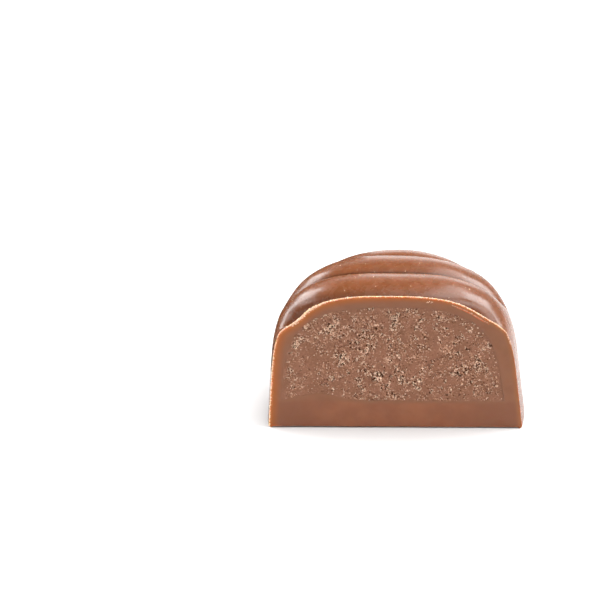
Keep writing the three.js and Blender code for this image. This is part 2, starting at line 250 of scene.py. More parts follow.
def outside_rows(chips):
    """The outside as rows of points, the first one on the cut."""
    turns = np.linspace(0, math.pi, CROWN_STEPS + 1)
    foot_turns = np.linspace(0, math.pi / 2, FOOT_STEPS, endpoint=False)
    foot_z = FOOT_ROUNDING * (1 - np.cos(foot_turns))
    foot_in = FOOT_ROUNDING * (1 - np.sin(foot_turns))
    wall_z = np.linspace(FOOT_ROUNDING, OUTSIDE["crossing"], WALL_STEPS, endpoint=False)
    side_z = np.concatenate([foot_z, wall_z])
    side_in = np.concatenate([foot_in, np.zeros(WALL_STEPS)])

    def cut_angle(z, side):
        reach = half_width(OUTSIDE, cut_line, z, side)
        return np.arctan2(cut_line(side * reach) / STRETCH, reach)

    end_z = np.array([OUTSIDE["crossing"]])
    rows = []
    for number, across_at in enumerate(rows_across()):
        crown = crown_points(OUTSIDE, across_at, turns)
        sides = {}
        for side, end in ((-1, crown[0]), (1, crown[-1])):
            end_angle = math.atan2(end[1] / STRETCH, abs(end[0]))
            first = cut_angle(end_z, side)[0]
            share = (end_angle - first) / (math.pi / 2 - first)
            start = cut_angle(side_z, side)
            angle = start + share * (math.pi / 2 - start)
            radius = radius_at(OUTSIDE, side_z) - side_in
            sides[side] = np.stack([
                side * radius * np.cos(angle), radius * np.sin(angle) * STRETCH, side_z], axis=-1)
        row = np.concatenate([sides[-1], crown, sides[1][::-1]])
        if number < STRIP_ROWS:
            row[:, 1] += chips * (1 - number / STRIP_ROWS)
        rows.append(row)
    return ridged(np.array(rows))


def smooth_noise(points, scale, seed, octaves=3):
    """Soft unevenness at each point, about -1 to 1, with waves of the given size."""
    offset = Vector((seed * 7.3, seed * 3.9, seed * 5.1))
    rough, finer = 0.5, 2.0
    places = [Vector(point) / scale + offset for point in points.reshape(-1, 3)]
    return np.array([noise.fractal(place, rough, finer, octaves) for place in places])


def grid_quads(rows, columns):
    """Quads of a grid of points whose index grows along each row."""
    start = (np.arange(rows - 1)[:, None] * columns + np.arange(columns - 1)[None, :]).ravel()
    return np.stack([start, start + 1, start + 1 + columns, start + columns], axis=-1)


def quads_between(near, far):
    """Quads between two closed loops of point numbers."""
    return np.stack([near, far, np.roll(far, -1), np.roll(near, -1)], axis=-1)


def place_mesh(name, points, faces, materials):
    """Makes an object from points in the part's frame and faces of any size."""
    mesh = bpy.data.meshes.new(name)
    mesh.from_pydata([tuple(p) for p in points], [], [tuple(f) for f in faces])
    for material in materials:
        mesh.materials.append(material)
    mesh.update()
    piece = bpy.data.objects.new(name, mesh)
    bpy.context.scene.collection.objects.link(piece)
    return piece


# The space for the filling, as wide at each height as the filling that was piped into it.
FILLING_FORM = {
    "radius": 15.0 * MM,
    "taper": 0.12,
    "shoulder": 6.6 * MM,
    "top": 17.6 * MM,
    "crossing": 11.0 * MM,
}
FILLING_SHIFT = -0.25 * MM
ARCH_WALL_STEPS = 200
ARCH_CROWN_STEPS = 800
BASE_THICKNESS = 4.0 * MM
SWELL_HEIGHT = 1.1 * MM
SWELL_X = -9.6 * MM
SWELL_WIDTH = 3.0 * MM


def base_top(x):
    """Height of the base layer under the filling, with its low swell on the left."""
    return BASE_THICKNESS + SWELL_HEIGHT * hump(x, SWELL_X, SWELL_WIDTH)


def filling_arch(across, places):
    """The filling's outline in a slice, from its left foot to its right, at shares of its length."""
    def across_at(along):
        return np.full_like(along, across)

    crossing = FILLING_FORM["crossing"]
    wall_z = np.linspace(0.5 * BASE_THICKNESS, crossing, ARCH_WALL_STEPS, endpoint=False)
    reach = half_width(FILLING_FORM, across_at, wall_z, 1)
    left = np.stack([-reach + FILLING_SHIFT, wall_z], axis=-1)
    right = np.stack([reach + FILLING_SHIFT, wall_z], axis=-1)
    turns = np.linspace(0, math.pi, ARCH_CROWN_STEPS + 1)
    crown = crown_points(FILLING_FORM, across_at, turns)[:, [0, 2]]
    crown[:, 0] += FILLING_SHIFT
    arch = np.concatenate([left, crown, right[::-1]])
    arch = arch[arch[:, 1] >= base_top(arch[:, 0])]
    length = np.concatenate([[0], np.cumsum(np.linalg.norm(np.diff(arch, axis=0), axis=1))])
    where = np.asarray(places) * length[-1]
    return np.stack([np.interp(where, length, arch[:, 0]), np.interp(where, length, arch[:, 1])], axis=-1)


def filling_loop(across, arch_places, floor_steps):
    """The filling's closed outline in a slice: its arch, then its underside from right to left."""
    arch = filling_arch(across, arch_places)
    floor_x = np.linspace(arch[-1, 0], arch[0, 0], floor_steps + 1)[1:-1]
    floor = np.stack([floor_x, base_top(floor_x)], axis=-1)
    loop = np.concatenate([arch, floor])
    return np.stack([loop[:, 0], np.full(len(loop), across + CENTRE_Y), loop[:, 1]], axis=-1)


HOLLOW_SLICES = 7
HOLLOW_END = 0.97  # of a quarter turn, where the last slice closes the filling's back


def slices_behind_cut():
    """Where slices through the filling lie behind the cut, the last one just short of its back."""
    back = radius_at(FILLING_FORM, np.array([FILLING_FORM["crossing"]]))[0] * STRETCH
    start = math.asin(-CUT_FROM_CENTRE / back)
    return back * np.sin(np.linspace(start, HOLLOW_END * math.pi / 2, HOLLOW_SLICES))[1:]


UNDERCUT_HEIGHT = 0.24 * MM
UNDERCUT_DEPTH = 0.7 * MM
MOULD_WAVE = 5 * MM
MOULD_UNEVENNESS = 0.025 * MM
DRAWN_IN = 0.03 * MM  # so that the unevenness stays inside the solid's box
EVEN_FOOT = 2 * MM
RINGS = 30
RING_POWER = 1.6  # rings crowd together at the outer edge
BASE_COLUMNS = 130
CUT_RECESS = 0.02 * MM
DRAG_WAVE = 0.9 * MM
DRAG_DEPTH = 0.012 * MM


def uneven_outside(chips):
    """The outside's rows in the part's frame, with the slight unevenness of a casting."""
    outside = in_row_frame(outside_rows(chips))
    uneven = smooth_noise(outside, MOULD_WAVE, 1, 2).reshape(outside.shape[:2]) * MOULD_UNEVENNESS
    outward = outside - np.array([0, CENTRE_Y, 6 * MM])
    outward /= np.linalg.norm(outward, axis=-1, keepdims=True)
    above_foot = np.clip(outside[..., 2] / EVEN_FOOT, 0, 1)
    return outside + outward * ((uneven - DRAWN_IN) * above_foot)[..., None]


def shell_mesh():
    """Closed mesh of the shell: outside, cut face in rings, hollow and underside."""
    chips = edge_chips()
    outside = uneven_outside(chips)
    row_count = outside.shape[0]
    points = [outside.reshape(-1, 3)]
    outside_faces = grid_quads(row_count, COLUMNS)
    total = row_count * COLUMNS

    # Rings of the cut face run from the outer outline to the filling's outline.
    edge = in_row_frame(outside_rows(np.zeros(COLUMNS))[0])
    gap = np.linalg.norm(np.diff(edge, axis=0), axis=1)
    arch_places = np.concatenate([[0], np.cumsum(gap)]) / gap.sum()
    inner = filling_loop(-CUT_FROM_CENTRE, arch_places, BASE_COLUMNS)
    floor_x = np.linspace(edge[-1, 0], edge[0, 0], BASE_COLUMNS + 1)[1:-1]
    floor_count = len(floor_x)
    floor_edge = np.stack([floor_x, np.full(floor_count, CUT_Y), np.zeros(floor_count)], axis=-1)
    outer = np.concatenate([edge, floor_edge])
    set_back = np.concatenate([chips, np.full(floor_count, UNDERCUT_DEPTH)])
    bevel_width = np.concatenate([0.9 * chips + 0.03 * MM, np.full(floor_count, UNDERCUT_HEIGHT)])
    loop_size = len(outer)
    first_ring = np.concatenate([np.arange(COLUMNS), total + np.arange(floor_count)])
    points.append(floor_edge + np.array([0, UNDERCUT_DEPTH, 0]))
    total += floor_count
    rings = [first_ring]
    for ring in range(1, RINGS + 1):
        share = (ring / RINGS) ** RING_POWER
        place = outer + (inner - outer) * share
        depth_in = np.linalg.norm(place - outer, axis=1)
        bevel = np.clip(1 - depth_in / bevel_width, 0, 1) * set_back
        drag = smooth_noise(place, DRAG_WAVE, 2) * DRAG_DEPTH
        place[:, 1] = CUT_Y + CUT_RECESS + np.maximum(bevel, DRAG_DEPTH + drag)
        points.append(place)
        rings.append(total + np.arange(loop_size))
        total += loop_size
    cut_faces = np.concatenate([quads_between(near, far) for near, far in zip(rings, rings[1:])])

    # The hollow behind the cut face narrows to its back.
    loops = [rings[-1]]
    for across in slices_behind_cut():
        points.append(filling_loop(across, arch_places, BASE_COLUMNS))
        loops.append(total + np.arange(loop_size))
        total += loop_size
    hollow_faces = [quads_between(near, far) for near, far in zip(loops, loops[1:])]
    hollow_back = loops[-1][::-1]

    feet_left = np.arange(row_count) * COLUMNS
    feet_right = feet_left + COLUMNS - 1
    underside = np.concatenate([feet_left[::-1], first_ring[COLUMNS:][::-1], feet_right])
    quads = np.concatenate([outside_faces, cut_faces, *hollow_faces])
    every_face = [tuple(q) for q in quads] + [tuple(hollow_back), tuple(underside)]
    cut_numbers = np.zeros(len(every_face), int)
    cut_numbers[len(outside_faces):len(outside_faces) + len(cut_faces)] = 1
    return np.concatenate(points), every_face, cut_numbers, edge, inner


FAR_AWAY = 1.0  # stands for the distance of points that aren't near the cut


def distance_to_line(points, line):
    """Distance of points to a line of points, as seen on the cut face."""
    places = points[:, [0, 2]]
    corners = line[:, [0, 2]]
    found = np.full(len(points), FAR_AWAY)
    for start, end in zip(corners, corners[1:]):
        step = end - start
        share = np.clip((places - start) @ step / (step @ step), 0, 1)
        found = np.minimum(found, np.linalg.norm(places - start - share[:, None] * step, axis=1))
    return found


def distance_near_cut(points, line):
    """The same for points at the cut alone, as the others never show it."""
    near_cut = points[:, 1] < CUT_Y + 1 * MM
    distance = np.full(len(points), FAR_AWAY)
    distance[near_cut] = distance_to_line(points[near_cut], line)
    return distance


# Where the painted highlight on a ridge's lip and the painted shade at the next ridge's foot lie, and how
# wide they are.
LIP_PLACE = 0.73  # from a ridge's crown, 0, to its groove, 1
LIP_WIDTH = 0.09
FOOT_PLACE = 0.94
FOOT_WIDTH = 0.05
LINE_FADE = 2 * MM


def ridge_lines(points):
    """Painted highlight along the lip of a ridge's back, 1, and painted shade at the foot of the next
    ridge, -1.
    """
    x, y, z = points[:, 0], points[:, 1] - CENTRE_Y, points[:, 2]
    across = y * math.cos(GROOVE_YAW) - x * math.sin(GROOVE_YAW)
    reach, on_back = place_on_ridge(across)
    lip = hump(reach, LIP_PLACE, LIP_WIDTH) * on_back
    foot = hump(reach, FOOT_PLACE, FOOT_WIDTH) * ~on_back * (across > 0)
    return (lip - foot) * np.clip((z - GROOVE_FADE_START) / LINE_FADE, 0, 1)


# How much wider or narrower the crushed edge is than most of it, by place, in millimetres.
WIDER_AT_UPPER_LEFT = 0.16
WIDER_ON_LEFT = 0.03
NARROWER_ON_CROWN = 0.03
NARROWER_ON_RIGHT_WALL = 0.3


def crumble_width(points):
    """How much wider the crushed edge is at a place, most of all at the upper left."""
    x, z = points[:, 0], points[:, 2]
    on_dome = z > 9 * MM
    upper_left = hump(x, -10.3 * MM, 2.1 * MM) * on_dome
    left = np.clip((-x - 2 * MM) / (12 * MM), 0, 1)
    crown = hump(x, 0, 7 * MM) * on_dome
    right_wall = np.clip((x - 13.6 * MM) / (1.2 * MM), 0, 1)
    wider = WIDER_AT_UPPER_LEFT * upper_left + WIDER_ON_LEFT * left
    return (wider - NARROWER_ON_CROWN * crown - NARROWER_ON_RIGHT_WALL * right_wall) * MM


def store_on_points(piece, name, values):
    """Stores a value for each point of a piece, for its material to read."""
    stored = piece.data.attributes.new(name, "FLOAT", "POINT")
    stored.data.foreach_set("value", np.asarray(values, np.float32))


def feed(material, socket, value):
    """Links another node's output to a socket, or sets a value that is the same all over."""
    if isinstance(value, bpy.types.NodeSocket):
        material.node_tree.links.new(value, socket)
    else:
        socket.default_value = value


def add_node(material, kind, **sockets):
    """Adds a shader node and feeds its inputs by name."""
    node = material.node_tree.nodes.new(kind)
    for name, value in sockets.items():
        feed(material, node.inputs[name.replace("_", " ")], value)
    return node


def blend_colour(material, share, low, high):
    """Colour that goes from low to high with a share from 0 to 1."""
    node = add_node(material, "ShaderNodeMix")
    node.data_type = "RGBA"
    share_socket, low_socket, high_socket = node.inputs[0], node.inputs[6], node.inputs[7]
    feed(material, share_socket, share)
    feed(material, low_socket, low)
    feed(material, high_socket, high)
    return node.outputs[2]


def between(material, value, low, high, out_low=0.0, out_high=1.0):
    """Maps a value from one range to another, with soft ends."""
    node = add_node(material, "ShaderNodeMapRange", Value=value, From_Min=low, From_Max=high,
                    To_Min=out_low, To_Max=out_high)
    node.interpolation_type = "SMOOTHSTEP"
    return node.outputs["Result"]


def noise_of(material, place, size, detail=3.0, rough=0.5):
    """Noise with features of about the given size."""
    node = add_node(material, "ShaderNodeTexNoise", Vector=place, Scale=1 / size, Detail=detail,
                    Roughness=rough)
    return node.outputs["Fac"]


def clouded(material, place, size, low=0.0, high=1.0, detail=4.0):
    """A value that wanders softly between two others, over spots of about the given size."""
    return between(material, noise_of(material, place, size, detail), 0.3, 0.7, low, high)


def math_node(material, operation, first, second=0.0):
    """Result of an operation on two values, or on the first alone where it takes one."""
    node = add_node(material, "ShaderNodeMath")
    node.operation = operation
    feed(material, node.inputs[0], first)
    feed(material, node.inputs[1], second)
    return node.outputs[0]


def bump_of(material, heights, depth, under=None):
    """Bump of the given depth from heights of 0 to 1, over another bump where one is given."""
    node = add_node(material, "ShaderNodeBump", Height=heights, Distance=depth)
    if under is not None:
        feed(material, node.inputs["Normal"], under)
    return node.outputs["Normal"]


def read_attribute(material, name):
    """A value stored on the mesh."""
    node = add_node(material, "ShaderNodeAttribute")
    node.attribute_name = name
    return node.outputs["Fac"]


def new_material(name):
    """A material with a Principled shader, and object coordinates in metres."""
    material = bpy.data.materials.new(name)
    material.use_nodes = True
    return material, add_node(material, "ShaderNodeTexCoord").outputs["Object"]


def finish_material(material, colour, roughness, bump=None, **sockets):
    """Feeds the material's shader with its colour, roughness and bump, and more sockets by name."""
    shader = material.node_tree.nodes["Principled BSDF"]
    feed(material, shader.inputs["Base Color"], colour)
    feed(material, shader.inputs["Roughness"], roughness)
    if bump is not None:
        feed(material, shader.inputs["Normal"], bump)
    for name, value in sockets.items():
        feed(material, shader.inputs[name.replace("_", " ")], value)
    return material


SKIN_DARK = (0.136, 0.044, 0.015, 1)
SKIN_PALE = (0.160, 0.055, 0.023, 1)
# Painted highlight along each ridge's lip, where it turns down into the groove behind it, and painted shade
# at the foot of the next ridge.
PAINTED_LIP_HIGHLIGHT = (0.25, 0.100, 0.038, 1)
PAINTED_FOOT_SHADE = (0.045, 0.012, 0.004, 1)
MILK_CHOCOLATE_GLOW = (1.0, 0.35, 0.15)  # red light spreads furthest in it


def moulded_chocolate():
    """Satin gloss from the mould, with faint clouding, the finest unevenness, a painted highlight along
    each ridge's lip and painted shade at the next ridge's foot.
    """
    material, place = new_material("moulded milk chocolate")
    plain = blend_colour(material, clouded(material, place, 1.3 * MM), SKIN_DARK, SKIN_PALE)
    # The painted highlight on the lips is broken up by noise; the painted shade at the feet goes on top.
    highlight_breakup = between(material, noise_of(material, place, 0.5 * MM), 0.3, 0.6, 0.35, 0.9)
    lip_highlight = math_node(material, "MULTIPLY", read_attribute(material, "lip"), highlight_breakup)
    with_lip_highlight = blend_colour(material, lip_highlight, plain, PAINTED_LIP_HIGHLIGHT)
    colour = blend_colour(material, read_attribute(material, "foot"), with_lip_highlight, PAINTED_FOOT_SHADE)
    roughness = clouded(material, place, 0.9 * MM, 0.21, 0.31)
    skin = bump_of(material, noise_of(material, place, 0.6 * MM), 0.0035 * MM)
    bump = bump_of(material, noise_of(material, place, 2.2 * MM, 2.0), 0.02 * MM, skin)
    return finish_material(
        material, colour, roughness, bump, IOR=1.47, Subsurface_Weight=0.4,
        Subsurface_Radius=MILK_CHOCOLATE_GLOW, Subsurface_Scale=0.6 * MM)


WALL_DARK = (0.222, 0.084, 0.036, 1)
WALL_PALE = (0.246, 0.095, 0.043, 1)
BASE_DARK = (0.238, 0.081, 0.034, 1)
BASE_PALE = (0.282, 0.098, 0.042, 1)
BASE_OFF_MIDDLE = (0.218, 0.077, 0.034, 1)
SEAM_COLOUR = (0.234, 0.092, 0.044, 1)  # of chocolate and paste alike, where they have run together
SEAM_WIDTH = 0.6 * MM
BASE_TOP_BLUR = 0.4 * MM


def cut_body(material, place, x, z):
    """Colour of the cut wall and base away from the rim, with the seam to the filling."""
    cloud = clouded(material, place, 1.8 * MM)
    wall = blend_colour(material, cloud, WALL_DARK, WALL_PALE)
    base = blend_colour(material, cloud, BASE_DARK, BASE_PALE)
    off_middle = between(material, math_node(material, "ABSOLUTE", x), 7 * MM, 13 * MM)
    base = blend_colour(material, off_middle, base, BASE_OFF_MIDDLE)
    above_base = between(material, z, BASE_THICKNESS - BASE_TOP_BLUR, BASE_THICKNESS + BASE_TOP_BLUR)
    body = blend_colour(material, above_base, base, wall)
    seam = between(material, read_attribute(material, "seam_distance"), 0.0, SEAM_WIDTH, 1.0, 0.0)
    return blend_colour(material, seam, body, SEAM_COLOUR)


RIM_ON_LEFT = (0.335, 0.090, 0.014, 1)
RIM_ON_RIGHT = (0.276, 0.098, 0.031, 1)
RIM_FROM = 0.25 * MM
RIM_TO = 1.15 * MM


def lit_rim(material, edge, x, body):
    """The body's colour with the orange rim, where light comes in through the edge."""
    narrower = between(material, x, -11 * MM, 12 * MM, 0.8, 1.5)
    rim_reach = math_node(material, "MULTIPLY", edge, narrower)
    rim = between(material, rim_reach, RIM_FROM, RIM_TO, 1.0, 0.0)
    to_right = between(material, x, 4 * MM, 13 * MM)
    rim_colour = blend_colour(material, to_right, RIM_ON_LEFT, RIM_ON_RIGHT)
    return blend_colour(material, rim, body, rim_colour)


# A split runs inside the cut's outer edge on the right, from one of these places to the other.
SPLIT_FROM = 7.7 * MM
SPLIT_TO = 12.3 * MM
SPLIT_INSET = 0.55 * MM
SPLIT_FADE = 0.6 * MM
SPLIT_COLOUR = (0.54, 0.125, 0.035, 1)


def split_wall(material, place, edge, x, rimmed):
    """The rimmed colour with the split's patchy orange-red line."""
    off_line = math_node(material, "ABSOLUTE", math_node(material, "SUBTRACT", edge, SPLIT_INSET))
    split = between(material, off_line, 0.05 * MM, 0.17 * MM, 1.0, 0.0)
    starts = between(material, x, SPLIT_FROM, SPLIT_FROM + SPLIT_FADE)
    ends = between(material, x, SPLIT_TO - SPLIT_FADE, SPLIT_TO, 1.0, 0.0)
    patchy = between(material, noise_of(material, place, 0.5 * MM), 0.35, 0.5)
    for share in (starts, ends, patchy):
        split = math_node(material, "MULTIPLY", split, share)
    return blend_colour(material, split, rimmed, SPLIT_COLOUR)


# Painted light: the orange glow of light shining through the thin chocolate just inside the edge.
PAINTED_EDGE_GLOW = (0.56, 0.19, 0.05, 1)
CRUST_BROWN = (0.52, 0.22, 0.10, 1)
CRUST_CREAM = (0.96, 0.68, 0.47, 1)


def crushed_edge(material, place, edge, wall):
    """The wall's colour with a painted orange glow just inside the edge, and the edge that the knife has
    crushed, cream and brown in specks.
    """
    grain = noise_of(material, place, 0.24 * MM, 4.0, 0.7)
    ragged = between(material, grain, 0.32, 0.68, -0.08 * MM, 0.15 * MM)
    widened = math_node(material, "SUBTRACT", edge, read_attribute(material, "crumble_width"))
    crust = math_node(material, "ADD", widened, ragged)
    # Painted glow, strongest just inside the crushed edge and fading inwards.
    glow = between(material, crust, 0.08 * MM, 0.46 * MM, 0.7, 0.0)
    with_painted_glow = blend_colour(material, glow, wall, PAINTED_EDGE_GLOW)
    specks = between(material, noise_of(material, place, 0.16 * MM, 3.0, 0.6), 0.42, 0.56)
    crushed = blend_colour(material, specks, CRUST_BROWN, CRUST_CREAM)
    broken = between(material, crust, 0.10 * MM, 0.17 * MM, 1.0, 0.0)
    return blend_colour(material, broken, with_painted_glow, crushed)


def cut_milk_chocolate():
    """Dull where the knife went through: orange where light comes in at the rim, redder in the base."""
    material, place = new_material("cut milk chocolate")
    axes = add_node(material, "ShaderNodeSeparateXYZ", Vector=place).outputs
    edge = read_attribute(material, "edge_distance")
    body = cut_body(material, place, axes["X"], axes["Z"])
    rimmed = lit_rim(material, edge, axes["X"], body)
    wall = split_wall(material, place, edge, axes["X"], rimmed)
    colour = crushed_edge(material, place, edge, wall)
    roughness = clouded(material, place, 0.8 * MM, 0.48, 0.62)
    skin = bump_of(material, noise_of(material, place, 0.12 * MM, 4.0, 0.6), 0.008 * MM)
    bump = bump_of(material, noise_of(material, place, 0.7 * MM), 0.02 * MM, skin)
    return finish_material(
        material, colour, roughness, bump, IOR=1.38, Subsurface_Weight=0.6,
        Subsurface_Radius=MILK_CHOCOLATE_GLOW, Subsurface_Scale=0.8 * MM)


shell_points, shell_faces, shell_cut, cut_edge, seam_line = shell_mesh()
shell = place_mesh("praline_shell", shell_points, shell_faces, [moulded_chocolate(), cut_milk_chocolate()])
shell.data.polygons.foreach_set("material_index", shell_cut)
shell.data.shade_smooth()
shell.data.set_sharp_from_angle(angle=math.radians(50))
store_on_points(shell, "edge_distance", distance_near_cut(shell_points, cut_edge))
store_on_points(shell, "seam_distance", distance_near_cut(shell_points, seam_line))
store_on_points(shell, "crumble_width", crumble_width(shell_points))
# Masks for the painted highlight along each lip and the painted shade at each foot.
lines = ridge_lines(shell_points)
store_on_points(shell, "lip", np.clip(lines, 0, 1))
store_on_points(shell, "foot", np.clip(-lines, 0, 1))
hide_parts("chocolate_shell")
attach(shell, "root")

# ---------------------------------------------------------------- the nut filling
# A stiff paste of ground nuts and milk chocolate, piped into the shell before the base was
# poured. The knife leaves it smooth in places, and elsewhere tears out crumbs in clusters.

FACE_COLUMNS = 440
FACE_ROWS = 200
SHOULDER_SHARE = 0.24  # of the filling's arch, from its foot to its shoulder
SIDE_PLACES = np.linspace(0, SHOULDER_SHARE, FACE_ROWS + 1)
CROWN_PLACES = np.linspace(SHOULDER_SHARE, 1 - SHOULDER_SHARE, FACE_COLUMNS + 1)
FACE_RECESS = 0.03 * MM

# Clusters of torn-out hollows, as x and z in millimetres from the middle of the base.
MAIN_CLUSTERS = [
    (-5.9, 13.6), (-7.8, 14.3), (-6.1, 10.3), (-8.4, 6.4), (0.4, 8.8), (1.0, 7.6),
    (-1.7, 7.8), (8.7, 13.2), (10.6, 9.6), (7.7, 8.3), (3.0, 7.0), (6.0, 15.9),
    (3.2, 14.6), (0.2, 15.8), (-2.8, 12.9), (-11.6, 12.8),
]
SMALL_CLUSTERS = 34
MAIN_SPREADS = (0.34, 0.72)  # from the narrowest to the widest, in millimetres
SMALL_SPREADS = (0.3, 0.55)
SMALL_DEPTHS = (0.4, 0.8)  # as shares of a main cluster's
RAGGEDNESS = 1.3


def face_grid():
    """Places on the filling's cut face, in rows from its underside to its crown."""
    left = filling_arch(-CUT_FROM_CENTRE, SIDE_PLACES)
    top = filling_arch(-CUT_FROM_CENTRE, CROWN_PLACES)
    right = filling_arch(-CUT_FROM_CENTRE, 1 - SIDE_PLACES)
    floor_x = np.linspace(left[0, 0], right[0, 0], FACE_COLUMNS + 1)
    bottom = np.stack([floor_x, base_top(floor_x)], axis=-1)
    bottom[0], bottom[-1] = left[0], right[0]
    u = np.linspace(0, 1, FACE_COLUMNS + 1)[None, :, None]
    v = np.linspace(0, 1, FACE_ROWS + 1)[:, None, None]
    across = (1 - v) * bottom[None] + v * top[None] + (1 - u) * left[:, None] + u * right[:, None]
    low_corners = (1 - v) * ((1 - u) * left[0] + u * right[0])
    high_corners = v * ((1 - u) * left[-1] + u * right[-1])
    return across - low_corners - high_corners


def cluster_share(grid, ragged):
    """How deep in a cluster of torn-out crumbs each place of the face is, from 0 to 1."""
    random = np.random.default_rng(4)
    low, high = grid.min(axis=(0, 1)), grid.max(axis=(0, 1))
    clusters = []
    for middle in MAIN_CLUSTERS:
        clusters.append((np.array(middle) * MM, random.uniform(*MAIN_SPREADS), 1.0))
    for _ in range(SMALL_CLUSTERS):
        middle = random.uniform(low, high)
        clusters.append((middle, random.uniform(*SMALL_SPREADS), random.uniform(*SMALL_DEPTHS)))
    share = np.zeros(grid.shape[:2])
    for middle, spread, depth in clusters:
        distance = np.linalg.norm(grid - middle, axis=-1) * (1 + RAGGEDNESS * ragged)
        share = np.maximum(share, depth * hump(distance, 0, spread * MM))
    return share


def clear_of_outline(shape):
    """1 over most of the face, falling to 0 at its outline, where the paste was pressed smooth."""
    rows, columns = shape
    from_side = np.minimum(np.arange(columns), np.arange(columns)[::-1]) / (columns - 1)
    from_top = np.arange(rows)[::-1] / (rows - 1)
    from_floor = np.arange(rows) / (rows - 1)
    upright = np.clip(from_top / 0.02, 0, 1) * np.clip(from_floor / 0.015, 0, 1)
    return np.clip(from_side / 0.025, 0, 1)[None] * upright[:, None]


def sticks_out(wave, torn, rare, common):
    """Where a wave passes its limit: for a rare share of the smooth paste, a common one of the torn."""
    high = np.quantile(wave, 1 - rare)
    low = np.quantile(wave, 1 - common)
    limit = high + (low - high) * torn
    return np.clip((wave - limit) / (0.15 * wave.std()), 0, 1)


# Depths of what the knife tears out and heights of what it leaves, in millimetres.
PIT_DEPTH = 0.24
CLUSTER_DEPTH = 0.5
FINE_PIT_DEPTH = 0.16
CRUMB_HEIGHT = 0.06
SWEEP_DEPTH = 0.05
DRAG_MARK_DEPTH = 0.04
DISH_DEPTH = 0.04  # of the whole face behind its outline


def torn_face():
    """The points of the filling's cut face, in rows, and what each of them shows."""
    grid = face_grid()
    flat = np.stack([grid[..., 0], np.zeros(grid.shape[:2]), grid[..., 1]], axis=-1)
    outline = np.concatenate([flat[::5, 0], flat[-1, ::5], flat[::-5, -1], flat[0, ::-5]])

    def waves(size, seed, octaves):
        return smooth_noise(flat, size, seed, octaves).reshape(grid.shape[:2])

    cluster = cluster_share(grid, waves(0.8 * MM, 6, 2))
    clear = clear_of_outline(cluster.shape)
    patch = np.clip(0.42 + 1.8 * waves(1.25 * MM, 5, 3), 0, 1)
    torn = np.clip(0.05 + 0.32 * patch + 0.75 * cluster, 0, 1)
    pit = sticks_out(waves(0.30 * MM, 11, 4), torn, 0.001, 0.27) * clear
    fine_pit = sticks_out(waves(0.22 * MM, 12, 3), torn, 0.004, 0.24) * clear
    crumb = sticks_out(waves(0.24 * MM, 13, 3), torn, 0.006, 0.38) * (1 - pit) * clear
    relief = SWEEP_DEPTH * waves(2.6 * MM, 3, 3) + DRAG_MARK_DEPTH * waves(0.45 * MM, 4, 3) * patch
    relief = relief + pit * (PIT_DEPTH + CLUSTER_DEPTH * cluster)
    relief = relief + FINE_PIT_DEPTH * fine_pit - CRUMB_HEIGHT * crumb
    depth = np.clip(FACE_RECESS / MM + DISH_DEPTH + relief, 0, None) * MM
    on_outline = np.ones(grid.shape[:2], bool)
    on_outline[1:-1, 1:-1] = False
    depth = np.where(on_outline, FACE_RECESS, depth)
    # The pit value marks the hollows, for their painted shade and for the bits round them.
    shows = {
        "pit": np.clip(pit * (0.65 + 0.6 * cluster) + 0.55 * fine_pit, 0, 1),
        "crumb": crumb * (0.6 + 0.4 * cluster),
        "torn": np.clip(0.1 + 0.55 * patch + 0.6 * cluster, 0, 1) * clear,
        "seam_distance": distance_to_line(flat.reshape(-1, 3), outline),
    }
    return np.stack([grid[..., 0], CUT_Y + depth, grid[..., 1]], axis=-1), shows


def filling_mesh():
    """Closed mesh of the filling behind its torn face, with the face's points and what they show."""
    face, shows = torn_face()
    rows, columns = face.shape[:2]
    numbers = np.arange(rows * columns).reshape(rows, columns)
    loop = np.concatenate([numbers[:, 0], numbers[-1, 1:], numbers[-2::-1, -1], numbers[0, -2:0:-1]])
    arch_places = np.concatenate([SIDE_PLACES, CROWN_PLACES[1:], (1 - SIDE_PLACES)[::-1][1:]])
    points = [face.reshape(-1, 3)]
    loops = [loop]
    for number, across in enumerate(slices_behind_cut()):
        points.append(filling_loop(across, arch_places, FACE_COLUMNS))
        loops.append(rows * columns + number * len(loop) + np.arange(len(loop)))
    sides = [quads_between(near, far)[:, [0, 3, 2, 1]] for near, far in zip(loops, loops[1:])]
    quads = np.concatenate([grid_quads(rows, columns), *sides])
    return np.concatenate(points), [tuple(q) for q in quads] + [tuple(loops[-1])], shows, face


PASTE_DARK = (0.209, 0.084, 0.042, 1)
PASTE_PALE = (0.245, 0.102, 0.056, 1)
PASTE_SEAM_WIDTH = 0.9 * MM
PALE_GRAIN = (0.62, 0.34, 0.21, 1)
DARK_GRAIN = (0.080, 0.021, 0.007, 1)
# Painted shade that darkens the torn-out hollows almost to black.
PAINTED_PIT_SHADE = (0.030, 0.006, 0.001, 1)
CRUMB_COLOUR = (0.82, 0.54, 0.39, 1)
NUT_PASTE_GLOW = (1.0, 0.5, 0.3)


